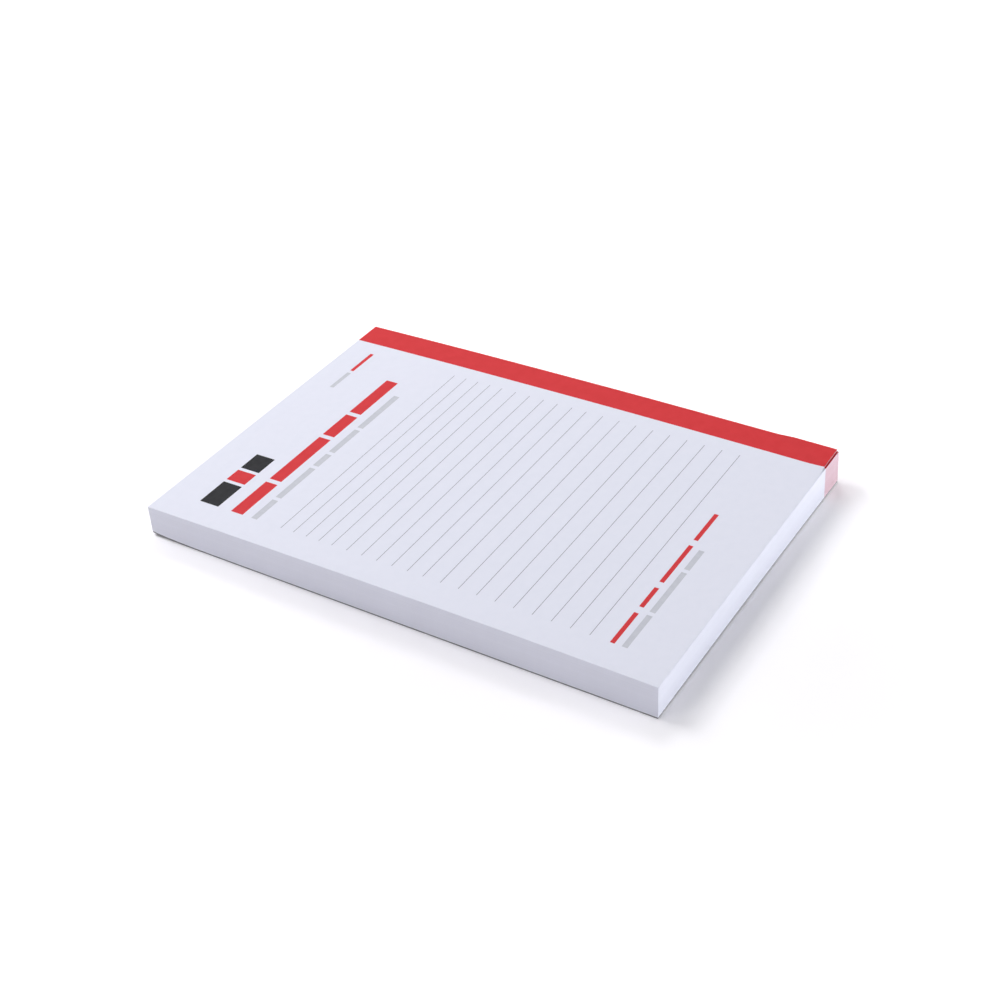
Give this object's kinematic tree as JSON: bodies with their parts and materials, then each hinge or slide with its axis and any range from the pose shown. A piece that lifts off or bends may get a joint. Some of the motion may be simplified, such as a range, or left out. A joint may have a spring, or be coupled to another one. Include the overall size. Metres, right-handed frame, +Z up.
{
  "type": "notepad",
  "caption": "Glued writing pad: a block of ruled sheets with a coloured band along one long edge, on a thin grey backing board, padded with glue along its head.",
  "frame": {"origin": "middle of the underside of the pad, glue film included, on the surface that it lies on", "axes": "+X towards the page's right edge, +Y towards the glued head of the page, +Z up out of the written side"},
  "size_m": [0.148, 0.2102, 0.0145],
  "materials": {
    "paper": "uncoated white paper, printed red along one edge",
    "greyboard": "matte grey chipboard",
    "glue": "dried padding glue, white, satin"
  },
  "bodies": {
    "root": {"sheet_block": "paper", "backing_board": "greyboard", "padding_glue": "glue"}
  },
  "joints": []
}
